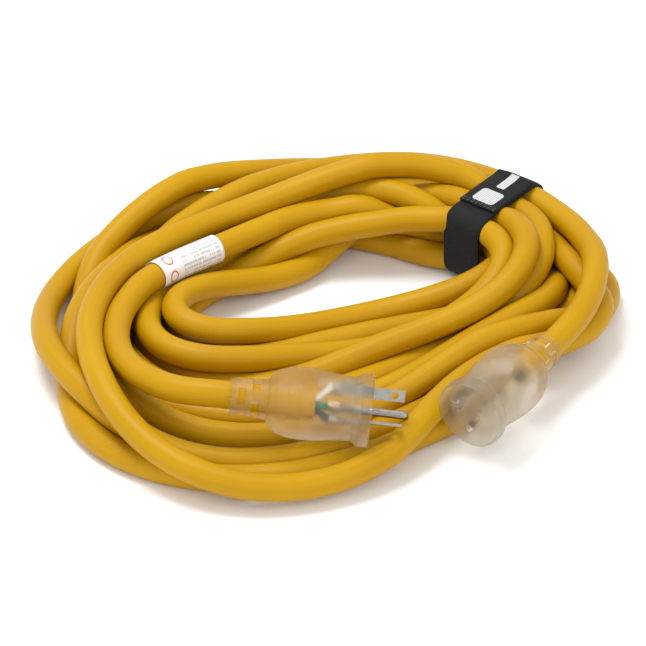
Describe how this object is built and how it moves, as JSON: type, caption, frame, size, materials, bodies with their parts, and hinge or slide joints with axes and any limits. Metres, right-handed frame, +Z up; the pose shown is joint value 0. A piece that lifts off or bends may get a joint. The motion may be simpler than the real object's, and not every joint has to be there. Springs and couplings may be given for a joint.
{
  "type": "extension cord",
  "caption": "Coiled heavy-duty yellow extension cord with clear lighted grounding plug and connector, black woven strap tie and a wrap-round paper tag.",
  "frame": {"origin": "centre of the whole part's footprint, on the surface that the coil lies on", "axes": "+X along the longest extent, from the loose left turns to the strap; +Y towards the back, away from the plug and connector; +Z up"},
  "size_m": [0.3447, 0.3348, 0.0585],
  "materials": {
    "cord_jacket": "satin",
    "clear_moulding": "frosted, clear",
    "insulating_block": "satin",
    "blade_metal": "nickel plated, satin",
    "contact_brass": "plain",
    "black_insulation": "satin",
    "white_insulation": "satin",
    "green_insulation": "satin",
    "lamp_glass": "clear",
    "resistor_body": "matte",
    "paper": "coated paper",
    "webbing": "woven",
    "thread": "spun"
  },
  "bodies": {
    "coil": {"cord_coil": "cord_jacket", "plug_lead": "cord_jacket", "connector_lead": "cord_jacket", "paper_tag": "paper", "strap_band": "webbing"},
    "plug": {"plug_body": "clear_moulding", "plug_jacket_end": "cord_jacket", "plug_blade_carrier": "insulating_block", "plug_line_blade": "blade_metal", "plug_neutral_blade": "blade_metal", "plug_ground_pin": "blade_metal", "plug_line_wire": "black_insulation", "plug_neutral_wire": "white_insulation", "plug_ground_wire": "green_insulation", "plug_lamp": "lamp_glass", "plug_resistor": "resistor_body"},
    "connector": {"connector_body": "clear_moulding", "connector_jacket_end": "cord_jacket", "connector_contact_carrier": "insulating_block", "connector_line_contact": "contact_brass", "connector_neutral_contact": "contact_brass", "connector_ground_contact": "contact_brass", "connector_line_wire": "black_insulation", "connector_neutral_wire": "white_insulation", "connector_ground_wire": "green_insulation", "connector_lamp": "lamp_glass", "connector_resistor": "resistor_body"},
    "strap_flap": {"strap_tail": "webbing", "strap_stitches": "thread"}
  },
  "joints": [
    {"name": "plug_flex", "type": "hinge", "parent": "coil", "child": "plug", "pos_m": [-0.062, -0.111, 0.043], "axis": [-0.0698, -0.9976, 0], "range_deg": [0, 25]},
    {"name": "connector_flex", "type": "hinge", "parent": "coil", "child": "connector", "pos_m": [0.1315, -0.0435, 0.031], "axis": [-0.809, 0.5878, 0], "range_deg": [0, 25]},
    {"name": "strap_peel", "type": "hinge", "parent": "coil", "child": "strap_flap", "pos_m": [0.08807, 0.06645, 0.0449], "axis": [0.788, -0.6157, 0], "range_deg": [0, 90]}
  ]
}
